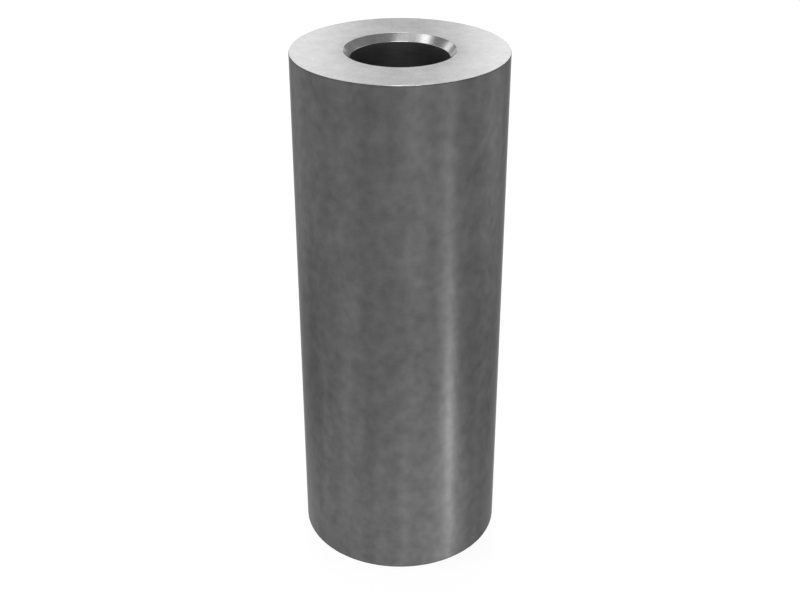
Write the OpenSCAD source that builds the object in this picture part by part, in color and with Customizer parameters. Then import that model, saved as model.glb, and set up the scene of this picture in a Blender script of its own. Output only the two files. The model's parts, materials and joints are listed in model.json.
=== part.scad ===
// Headless clevis pin, turned from round bar and bored through for a retaining bolt.
// It stands on one end face: its axis is Z, and the origin is the centre of that face.

/* [Pin] */
// Outside diameter, the bearing surface in the ears of the clevis
pin_d = 25.4; // [16:0.1:50]
// Length from end face to end face
pin_len = 65.1; // [30:0.1:150]
// Radius that breaks the outer edge of each end face
rim_r = 0.1; // [0.05:0.05:2]

/* [Bore] */
// Diameter of the straight bore, a close clearance on the retaining bolt
bore_d = 11.5; // [5:0.1:22]
// Width of the countersink at each end, measured across the end face
countersink_w = 0.8; // [0.3:0.05:5]
// Included angle of the countersink
countersink_angle = 85; // [60:1:120]
// Radius that breaks the two edges of each countersink
lip_r = 0.1; // [0.05:0.05:0.75]

/* [Hidden] */
$fn = 96;
// Straight steps along the arc of each broken edge
arc_steps = 4;

pin_r = pin_d / 2;
bore_r = bore_d / 2;
mouth_r = bore_r + countersink_w;
countersink_depth = countersink_w / tan(countersink_angle / 2);

// Sharp corners of the half section, counter-clockwise from the lower mouth:
// each is a point, as radius and height, and the radius that breaks it
CORNERS = [
    [[mouth_r, 0], lip_r],
    [[pin_r, 0], rim_r],
    [[pin_r, pin_len], rim_r],
    [[mouth_r, pin_len], lip_r],
    [[bore_r, pin_len - countersink_depth], lip_r],
    [[bore_r, countersink_depth], lip_r],
];

function unit(v) = v / norm(v);

// Points along the arc of radius r that is tangent to both sides of a corner
function broken_corner(before, corner, after, r) =
    let (
        to_before = unit(before - corner),
        to_after = unit(after - corner),
        half_angle = acos(to_before * to_after) / 2,
        centre = corner + unit(to_before + to_after) * r / sin(half_angle),
        first_angle = atan2(to_before.x, -to_before.y),
        turn = 180 - 2 * half_angle
    )
    [
        for (step = [0 : arc_steps])
            let (angle = first_angle + turn * step / arc_steps)
            centre + r * [cos(angle), sin(angle)]
    ];

// The outline of half of the pin, cut along its axis, with every edge broken
function half_section() =
    let (count = len(CORNERS))
    [
        for (i = [0 : count - 1])
            each broken_corner(
                CORNERS[(i + count - 1) % count][0],
                CORNERS[i][0],
                CORNERS[(i + 1) % count][0],
                CORNERS[i][1]
            )
    ];

module clevis_pin() {
    color("#6a6a6a") rotate_extrude() polygon(half_section());
}

clevis_pin();
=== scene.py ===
# %% [markdown]
# # A headless clevis pin
# The object is one turned piece: a short length of dark round bar, faced bright at both ends and
# drilled through, with a narrow countersink at each mouth. The packed CAD part is loaded first,
# as a fixed frame in metres. Everything made here sits in that frame, so nothing has to be fitted.

# %% Load the packed part
import json
import math

import bmesh
import bpy
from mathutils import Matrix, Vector


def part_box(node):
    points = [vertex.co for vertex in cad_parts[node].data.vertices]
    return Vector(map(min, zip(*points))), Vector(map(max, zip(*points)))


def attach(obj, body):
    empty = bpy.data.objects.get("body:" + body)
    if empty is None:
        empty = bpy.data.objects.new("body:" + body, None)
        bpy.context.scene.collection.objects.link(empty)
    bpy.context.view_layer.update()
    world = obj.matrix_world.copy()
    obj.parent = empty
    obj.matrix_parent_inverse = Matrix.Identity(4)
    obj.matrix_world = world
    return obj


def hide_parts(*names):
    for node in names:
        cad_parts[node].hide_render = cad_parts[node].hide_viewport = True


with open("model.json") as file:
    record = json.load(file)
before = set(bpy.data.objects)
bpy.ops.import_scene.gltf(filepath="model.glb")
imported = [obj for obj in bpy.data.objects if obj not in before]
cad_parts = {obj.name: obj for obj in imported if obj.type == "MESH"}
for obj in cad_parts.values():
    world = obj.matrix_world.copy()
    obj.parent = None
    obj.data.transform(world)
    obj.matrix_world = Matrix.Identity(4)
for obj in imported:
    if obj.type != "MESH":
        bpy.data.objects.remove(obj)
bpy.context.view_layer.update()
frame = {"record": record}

# %% [markdown]
# ## Sizes
# A turned part is fully described by half of its lengthwise section. The packed record gives the
# radius and the straight length of the pin and of its bore, and the node's box gives the length
# over all. What is left over at each end is the broken rim outside and the countersink inside.

# %% Read the section's sizes from the frame
MM = 0.001
mount_dims = {mount["name"]: mount["dims"] for mount in frame["record"]["mounts"]}
low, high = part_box("clevis_pin")
pin_len = high.z - low.z
pin_r = mount_dims["pin"]["r_mm"] * MM
bore_r = mount_dims["bore"]["r_mm"] * MM
rim_r = (pin_len - mount_dims["pin"]["length_mm"] * MM) / 2
mouth_depth = (pin_len - mount_dims["bore"]["length_mm"] * MM) / 2

# The record gives no angle for the countersink and no radius for the rounds at its two edges.
countersink_half_angle = math.radians(85 / 2)
lip_r = 0.1 * MM
# The round between the countersink and the bore takes up a little of the mouth's depth.
countersink_depth = mouth_depth - lip_r * math.tan(countersink_half_angle / 2)
countersink_w = countersink_depth * math.tan(countersink_half_angle)

for label, size in {
    "pin radius": pin_r,
    "length": pin_len,
    "rim radius": rim_r,
    "bore radius": bore_r,
    "countersink width": countersink_w,
    "countersink depth": countersink_depth,
}.items():
    print(f"{label}: {size / MM:.3f} mm")

# %% [markdown]
# ## Writing node trees as expressions
# Node trees are easier to read as formulas than as lists of links. This class wraps one socket:
# arithmetic on it adds Math nodes, `vector` adds Vector Math nodes, and `node` adds any other
# node, with the node's settings set first, because some of them decide which sockets it has.

# %% A socket that can be calculated with
class Wire:
    """One output socket of a node tree. Arithmetic on wires adds Math nodes."""

    def __init__(self, tree, socket=None):
        self.tree = tree
        self.socket = socket

    def node(self, kind, settings=None, inputs=None, output=0):
        made = self.tree.nodes.new(kind)
        for name, value in (settings or {}).items():
            setattr(made, name, value)
        for name, value in (inputs or {}).items():
            if isinstance(value, Wire):
                self.tree.links.new(value.socket, made.inputs[name])
            else:
                made.inputs[name].default_value = value
        return Wire(self.tree, made.outputs[output] if made.outputs else None)

    def maths(self, operation, *values):
        return self.node("ShaderNodeMath", {"operation": operation}, dict(enumerate(values)))

    def vector(self, operation, *values):
        """Vector maths on the values. A length or a distance comes out as a number."""
        output = "Value" if operation in ("LENGTH", "DISTANCE") else "Vector"
        settings = {"operation": operation}
        return self.node("ShaderNodeVectorMath", settings, dict(enumerate(values)), output)

    def __add__(self, other):
        return self.maths("ADD", self, other)

    def __sub__(self, other):
        return self.maths("SUBTRACT", self, other)

    def __rsub__(self, other):
        return self.maths("SUBTRACT", other, self)

    def __mul__(self, other):
        return self.maths("MULTIPLY", self, other)

    __radd__ = __add__
    __rmul__ = __mul__

    def between(self, start, end):
        """0 below start, 1 above end, and a smooth step from one to the other."""
        return self.node(
            "ShaderNodeMapRange",
            {"interpolation_type": "SMOOTHSTEP"},
            {"Value": self, "From Min": start, "From Max": end},
        )


print("a wire offers", [name for name in vars(Wire) if not name.startswith("_")])

# %% [markdown]
# ## Patterns in millimetres
# All the patterns read Object coordinates, so they stay on the pin from any side. Scaled to
# millimetres, a pattern's size can be written as it would be measured on the real surface.

# %% Helpers for materials
def new_material(name):
    """An empty material, and a wire to start its tree from."""
    material = bpy.data.materials.new(name)
    material.use_nodes = True
    material.node_tree.nodes.clear()
    return material, Wire(material.node_tree)


def object_mm(start, stretch=(1, 1, 1)):
    """Object coordinates in millimetres, with each axis stretched by a factor."""
    metres = start.node("ShaderNodeTexCoord", output="Object")
    per_axis = [1 / (MM * factor) for factor in stretch]
    return start.vector("MULTIPLY", metres, per_axis)


def lumps(place, size_mm, detail=2.0, fine=0.5):
    """Soft random values about 0, from -0.5 to 0.5, with lumps of about size_mm."""
    inputs = {"Vector": place, "Scale": 1 / size_mm, "Detail": detail, "Roughness": fine}
    return place.node("ShaderNodeTexNoise", inputs=inputs) - 0.5


def grey(level):
    return (level, level, level, 1.0)


def tint(factor, dark, light):
    """A grey between two levels, for a factor from 0 to 1."""
    return factor.node(
        "ShaderNodeMix",
        {"data_type": "RGBA"},
        {0: factor, 6: grey(dark), 7: grey(light)},
        output=2,
    )


print("material helpers ready")

# %% [markdown]
# ## The skin of the bar
# The pin's side still has the dark satin skin of the drawn bar. It is cloudy at the size of a few
# millimetres and spotted at the size of one, with a very fine grain round the bar. An image of a
# real bar would give that too, but noise has no seam and follows the part at any size. The same
# noise feeds colour and bump, so that the spots also catch the light. The relief is only about a
# hundredth of a millimetre: more would break up the long reflections that show a true cylinder.

# %% Make the skin
def make_skin():
    material, start = new_material("dark_bar_skin")
    place = object_mm(start, stretch=(1, 1, 1.15))
    clouds = lumps(place, 2.4)
    spots = lumps(place, 1.1, fine=0.4)
    grain = lumps(object_mm(start, stretch=(5, 5, 1)), 0.16, detail=1.0)
    tone = 0.5 + 0.5 * clouds + 0.5 * spots + 0.15 * grain
    height = spots + 0.3 * clouds + 0.1 * grain
    normal = start.node(
        "ShaderNodeBump",
        inputs={"Strength": 1.0, "Distance": 0.015 * MM, "Height": height},
    )
    shader = start.node(
        "ShaderNodeBsdfPrincipled",
        inputs={
            "Base Color": tint(tone, 0.042, 0.116),
            "Metallic": 1.0,
            "Roughness": 0.29 + 0.04 * clouds,
            "Specular Tint": grey(0.5),
            "Normal": normal,
        },
    )
    start.node("ShaderNodeOutputMaterial", inputs={"Surface": shader})
    return material


skin = make_skin()
print("made", skin.name, "with", len(skin.node_tree.nodes), "nodes")

# %% [markdown]
# ## The faced ends
# The ends are bright where the facing tool crossed them, and so are the countersinks. The broken
# edges are brighter still: bright fresh steel, made brighter as a painted highlight along the
# rounds. Handling has left its traces: brushed strokes that fan out from the bore, soft smudges, a
# few scuffs across the face and small nicks where the rim has knocked against something. Each is a
# noise in its own coordinates: stretched along the radius for the strokes, and turned and stretched
# by a Mapping node for the scuffs. A threshold makes scuffs and nicks rare. A faint darker ring
# just inside the rim, reaching over the rim's round, is painted shade.

# %% Make the faced finishes
def make_faced(name, roughness, dark, light):
    material, start = new_material(name)
    place = object_mm(start)
    level = start.vector("MULTIPLY", place, (1, 1, 0))
    radius = start.vector("LENGTH", level)
    # Noise on a circle's directions gives rays, which a slow change outwards breaks into strokes
    outwards = start.vector("NORMALIZE", level)
    slowly = start.vector("MULTIPLY", level, (0.05, 0.05, 0))
    fan = start.vector("ADD", outwards, slowly)
    across = start.node(
        "ShaderNodeMapping",
        inputs={"Vector": place, "Rotation": (0, 0, math.radians(25)), "Scale": (0.35, 2.2, 1)},
    )
    strokes = lumps(fan, 0.04, detail=3.0, fine=0.6)
    smudges = lumps(place, 1.6, detail=5.0, fine=0.65)
    scuffs = lumps(across, 1.0).between(0.14, 0.3)
    near_rim = radius.between(0.9 * pin_r / MM, pin_r / MM)
    nicks = near_rim * lumps(place, 0.5, detail=1.0).between(0.1, 0.22)
    # Painted shade: a faint darker ring just inside the rim, reaching over the rim's round
    painted_rim_shade = radius.between((pin_r - 2.4 * rim_r) / MM, (pin_r - 1.4 * rim_r) / MM)
    tone = 0.5 + 0.9 * strokes + 1.3 * smudges + 0.4 * scuffs - 0.7 * nicks - 0.6 * painted_rim_shade
    shader = start.node(
        "ShaderNodeBsdfPrincipled",
        inputs={
            "Base Color": tint(tone, dark, light),
            "Metallic": 1.0,
            "Roughness": roughness + 0.1 * smudges + 0.08 * scuffs,
        },
    )
    start.node("ShaderNodeOutputMaterial", inputs={"Surface": shader})
    return material


faced = make_faced("faced_steel", 0.33, 0.60, 0.85)
cut = make_faced("cut_steel", 0.25, 0.56, 0.80)
# Bright steel on the broken edges, made brighter than the faces as a painted highlight along the
# rounds
edge = make_faced("bright_edge_and_highlight", 0.24, 0.88, 0.98)
for finish in (faced, cut, edge):
    print("made", finish.name, "with", len(finish.node_tree.nodes), "nodes")

# %% [markdown]
# ## The drilled wall
# The bore's wall is coloured darker than the faces, as painted shade for the inside of the hole,
# with faint marks round the wall that the drill left. Noise that is stretched eight times across
# the axis looks like marks that run round it.

# %% Make the drilled wall, coloured dark as painted shade
def make_bore_wall_shaded():
    material, start = new_material("drilled_wall_painted_shade")
    marks = lumps(object_mm(start, stretch=(8, 8, 1)), 0.25)
    shader = start.node(
        "ShaderNodeBsdfPrincipled",
        inputs={
            # Painted shade: the wall is coloured darker than the faces, for the shade inside the
            # hole
            "Base Color": tint(0.5 + 0.8 * marks, 0.13, 0.24),
            "Metallic": 1.0,
            "Roughness": 0.5 + 0.1 * marks,
        },
    )
    start.node("ShaderNodeOutputMaterial", inputs={"Surface": shader})
    return material


drilled = make_bore_wall_shaded()
print("made", drilled.name, "with", len(drilled.node_tree.nodes), "nodes")

# %% [markdown]
# ## The pin, turned by Geometry Nodes
# A lathe is a rule: a section is carried round an axis. The tree draws the six sharp corners of
# the half section, rounds each with its own radius, splits the long straight stretches so that
# the faces stay small, and sweeps the outline round a circle. Its sizes are named inputs, so the
# same tree turns any pin of this kind. A screw modifier on a drawn outline would also do, but
# then the rounds would have to be worked out point by point.

# %% Build the lathe tree
LATHE_SIZES = {
    "Pin Radius": pin_r,
    "Length": pin_len,
    "Rim Radius": rim_r,
    "Bore Radius": bore_r,
    "Countersink Width": countersink_w,
    "Countersink Depth": countersink_depth,
    "Lip Radius": lip_r,
    "Longest Face": 1.6 * MM,
}
LATHE_COUNTS = {"Arc Points": 7, "Segments": 192}
LATHE_FINISHES = {"Skin": skin, "Faced": faced, "Cut": cut, "Edge": edge, "Drilled": drilled}


def by_index(start, data_type, values):
    """A field with one value for each point of a short outline, in its order."""
    switch = start.node(
        "GeometryNodeIndexSwitch",
        {"data_type": data_type},
        {"Index": start.node("GeometryNodeInputIndex")},
    )
    items = switch.socket.node.index_switch_items
    while len(items) < len(values):
        items.new()
    for number, value in enumerate(values):
        start.tree.links.new(value.socket, switch.socket.node.inputs[number + 1])
    return switch


def build_lathe():
    tree = bpy.data.node_groups.new("lathe", "GeometryNodeTree")
    sockets = {}
    for kind, group in (
        ("NodeSocketFloat", LATHE_SIZES),
        ("NodeSocketInt", LATHE_COUNTS),
        ("NodeSocketMaterial", LATHE_FINISHES),
    ):
        for name in group:
            sockets[name] = tree.interface.new_socket(name, in_out="INPUT", socket_type=kind)
    tree.interface.new_socket("Geometry", in_out="OUTPUT", socket_type="NodeSocketGeometry")
    start = Wire(tree)
    entry = tree.nodes.new("NodeGroupInput")
    size = {name: Wire(tree, entry.outputs[name]) for name in sockets}

    # The sharp outline, as radius and height. The sweep below turns an outline's Y downwards,
    # so the heights go in with their sign changed.
    mouth = size["Bore Radius"] + size["Countersink Width"]
    upper = size["Length"] - size["Countersink Depth"]
    corners = [
        (mouth, size["Length"]),
        (size["Pin Radius"], size["Length"]),
        (size["Pin Radius"], 0.0),
        (mouth, 0.0),
        (size["Bore Radius"], size["Countersink Depth"]),
        (size["Bore Radius"], upper),
    ]
    places = [start.node("ShaderNodeCombineXYZ", inputs={"X": r, "Y": 0.0 - z}) for r, z in corners]
    points = start.node(
        "GeometryNodePoints",
        inputs={"Count": len(corners), "Position": by_index(start, "VECTOR", places)},
    )
    open_outline = start.node("GeometryNodePointsToCurves", inputs={"Points": points})
    outline = start.node(
        "GeometryNodeSetSplineCyclic",
        inputs={"Geometry": open_outline, "Cyclic": True},
    )
    lip, rim = size["Lip Radius"], size["Rim Radius"]
    rounded = start.node(
        "GeometryNodeFilletCurve",
        {"mode": "POLY"},
        {
            "Curve": outline,
            "Count": size["Arc Points"],
            "Radius": by_index(start, "FLOAT", [lip, rim, rim, lip, lip, lip]),
        },
    )

    # The straight stretches are split into faces no longer than asked
    here = start.node("GeometryNodeInputPosition")
    next_index = start.node(
        "GeometryNodeOffsetPointInCurve",
        inputs={"Point Index": start.node("GeometryNodeInputIndex"), "Offset": 1},
        output="Point Index",
    )
    there = start.node(
        "GeometryNodeFieldAtIndex",
        {"data_type": "FLOAT_VECTOR", "domain": "POINT"},
        {"Value": here, "Index": next_index},
    )
    stretch = start.vector("DISTANCE", here, there)
    cuts = start.maths("FLOOR", start.maths("DIVIDE", stretch, size["Longest Face"]))
    split = start.node("GeometryNodeSubdivideCurve", inputs={"Curve": rounded, "Cuts": cuts})

    # The outline is carried round a circle whose normals point outwards
    circle = start.node(
        "GeometryNodeCurvePrimitiveCircle",
        inputs={"Resolution": size["Segments"], "Radius": size["Bore Radius"]},
    )
    path = start.node("GeometryNodeSetCurveNormal", {"mode": "Z_UP"}, {"Curve": circle})
    from_path = start.node("ShaderNodeCombineXYZ", inputs={"X": 0.0 - size["Bore Radius"]})
    section = start.node(
        "GeometryNodeSetPosition",
        inputs={"Geometry": split, "Offset": from_path},
    )
    swept = start.node(
        "GeometryNodeCurveToMesh",
        inputs={"Curve": path, "Profile Curve": section},
    )
    smooth = start.node("GeometryNodeSetShadeSmooth", inputs={"Geometry": swept})

    # Each stretch of the section gets its finish. The skin reaches up over most of the rim's
    # round. Of the lip's round, the half next to the countersink is as bright as the rim.
    whole = start.node("GeometryNodeRealizeInstances", inputs={"Geometry": smooth})
    dressed = start.node(
        "GeometryNodeSetMaterial",
        inputs={"Geometry": whole, "Material": size["Faced"]},
    )
    x_y_z = start.node("ShaderNodeSeparateXYZ", inputs={0: here}).socket.node.outputs
    x, y, z = (Wire(tree, output) for output in x_y_z)
    radius = start.maths("SQRT", x * x + y * y)
    from_middle = start.maths("ABSOLUTE", z - 0.5 * size["Length"])
    half = 0.5 * size["Length"]
    outside = start.maths("GREATER_THAN", radius, 0.5 * (mouth + size["Pin Radius"]))
    inside = 1 - outside
    on_side = outside * start.maths("LESS_THAN", from_middle, half - 0.2 * rim)
    on_edge = outside * start.maths("GREATER_THAN", radius, size["Pin Radius"] - rim)
    in_mouth = inside * start.maths("LESS_THAN", radius, mouth)
    to_bore = half - size["Countersink Depth"]
    on_lip = inside * start.maths("LESS_THAN", from_middle, to_bore + 0.3 * lip)
    in_bore = inside * start.maths("LESS_THAN", from_middle, to_bore)
    for selection, finish in (
        (on_edge, "Edge"),
        (on_side, "Skin"),
        (in_mouth, "Cut"),
        (on_lip, "Edge"),
        (in_bore, "Drilled"),
    ):
        dressed = start.node(
            "GeometryNodeSetMaterial",
            inputs={"Geometry": dressed, "Selection": selection, "Material": size[finish]},
        )
    start.node("NodeGroupOutput", inputs={"Geometry": dressed})
    identifiers = {name: socket.identifier for name, socket in sockets.items()}
    return tree, identifiers


lathe, lathe_inputs = build_lathe()
print("lathe tree has", len(lathe.nodes), "nodes and inputs", list(lathe_inputs))

# %% [markdown]
# ## From tree to plain mesh
# The modifier's inputs are set by identifier before it is evaluated. Its result is then kept as a
# plain mesh. A Weighted Normal modifier finishes it: the wide flat faces decide the normals at
# their borders, so the tiny rounds shade as rounds and the faces stay flat.

# %% Turn the pin
def turn_pin():
    maker = bpy.data.objects.new("lathe_maker", bpy.data.meshes.new("lathe_maker"))
    bpy.context.scene.collection.objects.link(maker)
    modifier = maker.modifiers.new("lathe", "NODES")
    modifier.node_group = lathe
    for group in (LATHE_SIZES, LATHE_COUNTS, LATHE_FINISHES):
        for name, value in group.items():
            modifier[lathe_inputs[name]] = value
    graph = bpy.context.evaluated_depsgraph_get()
    mesh = bpy.data.meshes.new_from_object(maker.evaluated_get(graph))
    bpy.data.objects.remove(maker)
    mesh.name = "turned_pin"
    piece = bpy.data.objects.new("turned_pin", mesh)
    bpy.context.scene.collection.objects.link(piece)
    flat_faces = piece.modifiers.new("flat_faces", "WEIGHTED_NORMAL")
    flat_faces.mode = "FACE_AREA"
    return piece


pin = turn_pin()
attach(pin, "root")
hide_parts("clevis_pin")
probe = bmesh.new()
probe.from_mesh(pin.data)
print(f"turned {len(probe.faces)} faces, volume {probe.calc_volume(signed=True) / MM**3:.1f} mm3")
print("open edges:", sum(not seam.is_manifold for seam in probe.edges))
print("finishes:", [material.name for material in pin.data.materials])
probe.free()

# %% [markdown]
# ## A pale floor
# The picture has a white ground, and a faint shadow ties the pin to it. The floor is like the
# frosted sheet of a shooting table: matt from above, so that it takes the shadow, with a glow of
# its own that only the camera sees. The glow makes up for the light that the lamps lose with
# distance. Reflections look through the sheet at the white that lies below it, which keeps the
# mirror image of the ground as soft at the foot of the pin as it is higher up.

# %% Lay the floor
FLOOR_HALF = 3.0
FLOOR_DROP = 0.02 * MM
GLOW_NEAR, GLOW_FAR = 0.85, 1.0
GLOW_REACH_MM = (80, 700)


def light_paths(start):
    """One wire for each kind of ray that can be told apart in a shader."""
    outputs = start.node("ShaderNodeLightPath").socket.node.outputs
    return {output.name: Wire(start.tree, output) for output in outputs}


def make_floor_material():
    material, start = new_material("pale_floor")
    matt = start.node("ShaderNodeBsdfDiffuse", inputs={"Color": grey(0.3)})
    ray = light_paths(start)
    from_axis = start.vector("LENGTH", object_mm(start))
    # The sheet has no glow under the pin, so that the far end of the bore stays dark
    beside_pin = start.maths("GREATER_THAN", from_axis, 0.98 * pin_r / MM)
    seen = start.maths("MINIMUM", ray["Is Camera Ray"] + ray["Is Transmission Ray"], 1.0)
    level = GLOW_NEAR + (GLOW_FAR - GLOW_NEAR) * from_axis.between(*GLOW_REACH_MM)
    glow = start.node("ShaderNodeEmission", inputs={"Color": seen * beside_pin * level})
    sheet = start.node("ShaderNodeAddShader", inputs={0: matt, 1: glow})
    # It is clear from below, to reflections, and to the light of the lamps below it
    underside = start.node("ShaderNodeNewGeometry", output="Backfacing")
    clear = underside + ray["Is Glossy Ray"] + ray["Is Shadow Ray"]
    surface = start.node(
        "ShaderNodeMixShader",
        inputs={
            0: start.maths("MINIMUM", clear, 1.0),
            1: sheet,
            2: start.node("ShaderNodeBsdfTransparent"),
        },
    )
    start.node("ShaderNodeOutputMaterial", inputs={"Surface": surface})
    return material


floor_mesh = bpy.data.meshes.new("floor")
corners = [(x * FLOOR_HALF, y * FLOOR_HALF) for x, y in ((-1, -1), (1, -1), (1, 1), (-1, 1))]
floor_mesh.from_pydata([(x, y, low.z - FLOOR_DROP) for x, y in corners], [], [(0, 1, 2, 3)])
floor_mesh.materials.append(make_floor_material())
floor = bpy.data.objects.new("floor", floor_mesh)
bpy.context.scene.collection.objects.link(floor)
print(f"floor at z = {(low.z - FLOOR_DROP) / MM:.2f} mm")

# %% [markdown]
# ## The camera
# The view looks down on the pin from the front, at the middle of its height.

# %% Place the camera
VIEW_HEIGHT = math.radians(28.58)
VIEW_DISTANCE = 159.4 * MM
FOCAL_LENGTH_MM = 56.81
middle = Vector((0, 0, low.z + pin_len / 2))
camera = bpy.data.objects.new("camera", bpy.data.cameras.new("camera"))
camera.data.lens = FOCAL_LENGTH_MM
camera.data.clip_start = 10 * MM
towards_camera = Vector((0, -math.cos(VIEW_HEIGHT), math.sin(VIEW_HEIGHT)))
camera.location = middle + VIEW_DISTANCE * towards_camera
camera.rotation_euler = towards_camera.to_track_quat("Z", "Y").to_euler()
bpy.context.scene.collection.objects.link(camera)
bpy.context.scene.camera = camera
bpy.context.scene.view_settings.view_transform = "Standard"
print("camera at", [round(value / MM, 1) for value in camera.location], "mm")

# %% [markdown]
# ## Studio light
# Bright metal looks like what stands around it, so most of this light is there to be mirrored. The
# room is dim above, and white from the horizon down. Panels stand a metre from the pin. Each is
# given by its bearing to the right of the camera, its height above the horizon, its apparent size
# and its level, which is the brightness that a mirror would show. The side of the pin mirrors what
# lies below the table, so its long streaks come from columns of panels there. The law of reflection
# tells where a column must stand to show as an upright band in one strip of the side. No lamp
# shows to the camera.

# %% Set the light
HORIZON_TOP = math.radians(3)
HORIZON_FADE = math.radians(10)
HORIZON_LEVEL = 1.0
ROOM_LEVEL = 0.2
PANEL_DISTANCE = 1.0
# Each panel stands this much further away than the last, so that none lies in another's plane
PANEL_GAP = 2 * MM
# Where a band's stretches begin and end, as shares of the pin's length from its foot
BAND_CUTS = (-0.2, 0.12, 0.38, 0.65, 1.3)


def make_world():
    world = bpy.data.worlds.new("dim_room")
    world.use_nodes = True
    world.node_tree.nodes.clear()
    start = Wire(world.node_tree)
    direction = start.node("ShaderNodeTexCoord", output="Generated")
    height = start.node("ShaderNodeSeparateXYZ", inputs={0: direction}, output="Z")
    overhead = height.between(math.sin(HORIZON_TOP), math.sin(HORIZON_FADE))
    light = start.node(
        "ShaderNodeBackground",
        inputs={"Color": tint(overhead, HORIZON_LEVEL, ROOM_LEVEL)},
    )
    start.node("ShaderNodeOutputWorld", inputs={"Surface": light})
    return world


def panel(name, bearing, height, wide, tall, level, aim=Vector((0, 0, high.z))):
    """A flat lamp that faces the middle of the pin's top, or another point. Angles in degrees."""
    distance = PANEL_DISTANCE + PANEL_GAP * len(bpy.data.lights)
    lamp = bpy.data.lights.new(name, "AREA")
    lamp.shape = "RECTANGLE"
    lamp.size = 2 * distance * math.tan(math.radians(wide) / 2)
    lamp.size_y = 2 * distance * math.tan(math.radians(tall) / 2)
    lamp.energy = level * math.pi * lamp.size * lamp.size_y
    a, e = math.radians(bearing), math.radians(height)
    towards = Vector((math.sin(a) * math.cos(e), -math.cos(a) * math.cos(e), math.sin(e)))
    holder = bpy.data.objects.new(name, lamp)
    holder.location = aim + distance * towards
    holder.rotation_euler = towards.to_track_quat("Z", "Y").to_euler()
    bpy.context.scene.collection.objects.link(holder)
    return holder


def band(name, facing, wide, levels, lean=0):
    """A column of panels below the floor, seen as one upright band in the side of the pin.

    The band shows in the strip of the side that faces this bearing, in degrees. Each level lights
    one stretch of it, from the foot up, and each stretch leans by some degrees from the last.
    """
    panels = []
    for number, (stretch, level) in enumerate(zip(zip(BAND_CUTS, BAND_CUTS[1:]), levels)):
        if not level:
            continue
        a = math.radians(facing + lean * number)
        strip = Vector((pin_r * math.sin(a), -pin_r * math.cos(a), middle.z))
        to_camera = camera.location - strip
        bearing = 2 * a - math.atan2(to_camera.x, -to_camera.y)
        away = to_camera.to_2d().length
        drops = [camera.location.z - low.z - share * pin_len for share in stretch]
        heights = [-math.atan2(drop, away) for drop in drops]
        panels.append(
            panel(
                f"{name}_{number}",
                bearing=math.degrees(bearing),
                height=math.degrees(sum(heights) / 2),
                wide=wide,
                tall=math.degrees(heights[1] - heights[0]),
                level=level,
                aim=strip,
            )
        )
    return panels


bpy.context.scene.world = make_world()
lamps = [
    # What the end face, the countersink and the bright edges mirror
    panel("key", bearing=-81, height=54, wide=14, tall=16, level=1.4),
    panel("front_panel", bearing=0, height=37, wide=36, tall=16, level=5.8),
    panel("side_left", bearing=-98, height=18, wide=50, tall=24, level=0.6),
    panel("side_right", bearing=98, height=18, wide=50, tall=24, level=0.6),
    panel("overhead", bearing=-40, height=67, wide=54, tall=22, level=0.5),
    panel("left_back", bearing=-135, height=22, wide=14, tall=14, level=1.15),
    panel("back_left", bearing=-168.4, height=18, wide=17, tall=24, level=1.1),
    panel("back_right", bearing=167.6, height=18, wide=17, tall=24, level=1.25),
    panel("back_top", bearing=177.7, height=65, wide=10, tall=50, level=3.2),
    # What the side mirrors, from left to right
    *band("left_edge", facing=-64, wide=20, levels=(1.3, 0.4, 0.4, 1.3)),
    *band("left_dark", facing=-53.5, wide=22, levels=(1.4, 0, 0, 0.7)),
    *band("left", facing=-40, wide=32, levels=(1.5, 0.3, 0.1, 0.5)),
    *band("left_inner", facing=-27, wide=20, levels=(1.3, 0.6, 0.5, 0.6)),
    *band("front_dark", facing=-17, wide=20, levels=(1.5, 0, 0, 0.3)),
    *band("front", facing=-5, wide=28, levels=(2.4, 0, 0, 0.6)),
    *band("front_bright", facing=8, wide=24, levels=(2.4, 0.5, 0.1, 1.2)),
    *band("front_right", facing=17.5, wide=14, levels=(2.4, 0, 0, 0.5)),
    *band("skirt", facing=24.5, wide=14, levels=(3.7, 0.8, 0.1, 1.4)),
    *band("streak", facing=30.6, wide=6, lean=-1.8, levels=(1, 14.5, 3.8, 0)),
    *band("flank", facing=36, wide=17, levels=(2.5, 0.3, 0, 0.4)),
    *band("right_dark", facing=45, wide=19, levels=(0.9, 0, 0, 0.5)),
    *band("right", facing=58, wide=33, levels=(0.9, 0.4, 0.4, 1.2)),
]
print("lamps", [lamp.name for lamp in lamps])

# %% [markdown]
